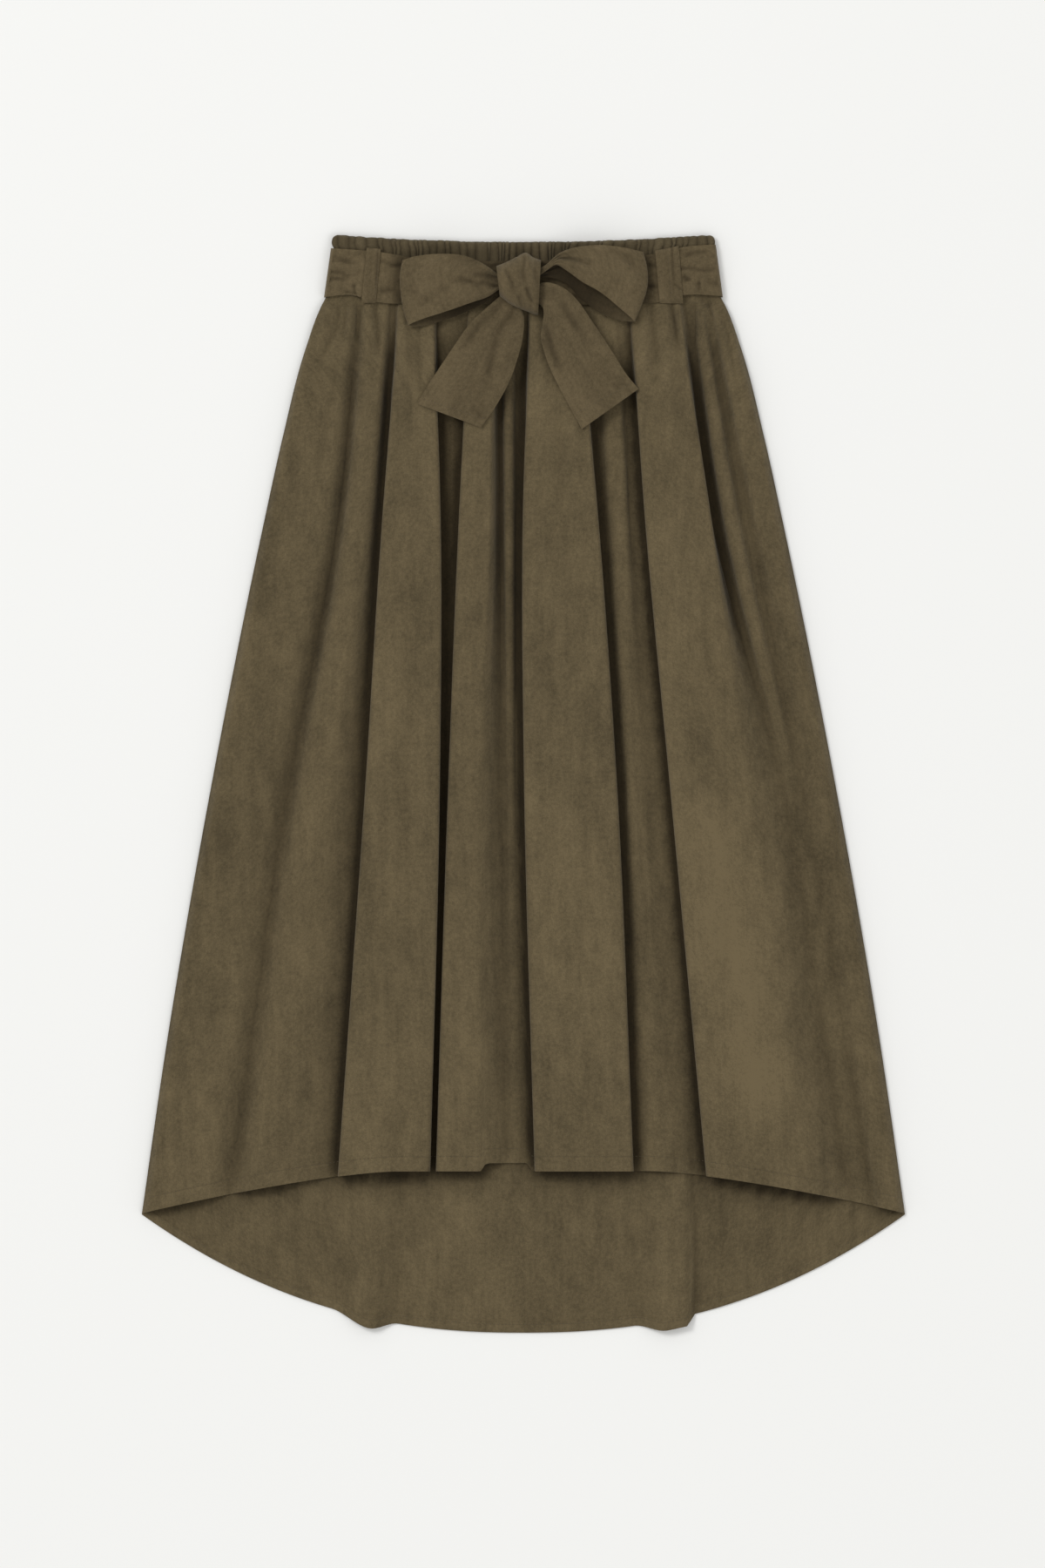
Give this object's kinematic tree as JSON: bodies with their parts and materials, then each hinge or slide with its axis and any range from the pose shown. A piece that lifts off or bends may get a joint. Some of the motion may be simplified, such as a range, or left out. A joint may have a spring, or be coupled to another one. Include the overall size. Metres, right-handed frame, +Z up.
{
  "type": "skirt",
  "caption": "High-low gathered midi skirt in olive brown cloth with an elastic waist and a tie belt bow, laid flat front up.",
  "frame": {"origin": "centre of the laid skirt's outline, on the surface that it lies on", "axes": "+X across to the right of the picture, +Y up the skirt from the hem to the waistband, +Z up out of the front"},
  "size_m": [0.6746, 0.9693, 0.029],
  "materials": {
    "shell": "sueded olive brown woven cloth, matt with a soft nap",
    "waistband": "the same cloth ruched over elastic",
    "sash": "the same cloth, doubled and pressed"
  },
  "bodies": {
    "root": {"front_panel": "shell", "back_panel": "shell", "waistband_front": "waistband", "waistband_back": "waistband", "belt_back": "sash", "belt_left": "sash", "belt_right": "sash", "belt_loop_left": "sash", "belt_loop_right": "sash", "bow_knot": "sash", "bow_loop_left": "sash", "bow_loop_right": "sash", "tail_left": "sash", "tail_right": "sash"}
  },
  "joints": []
}
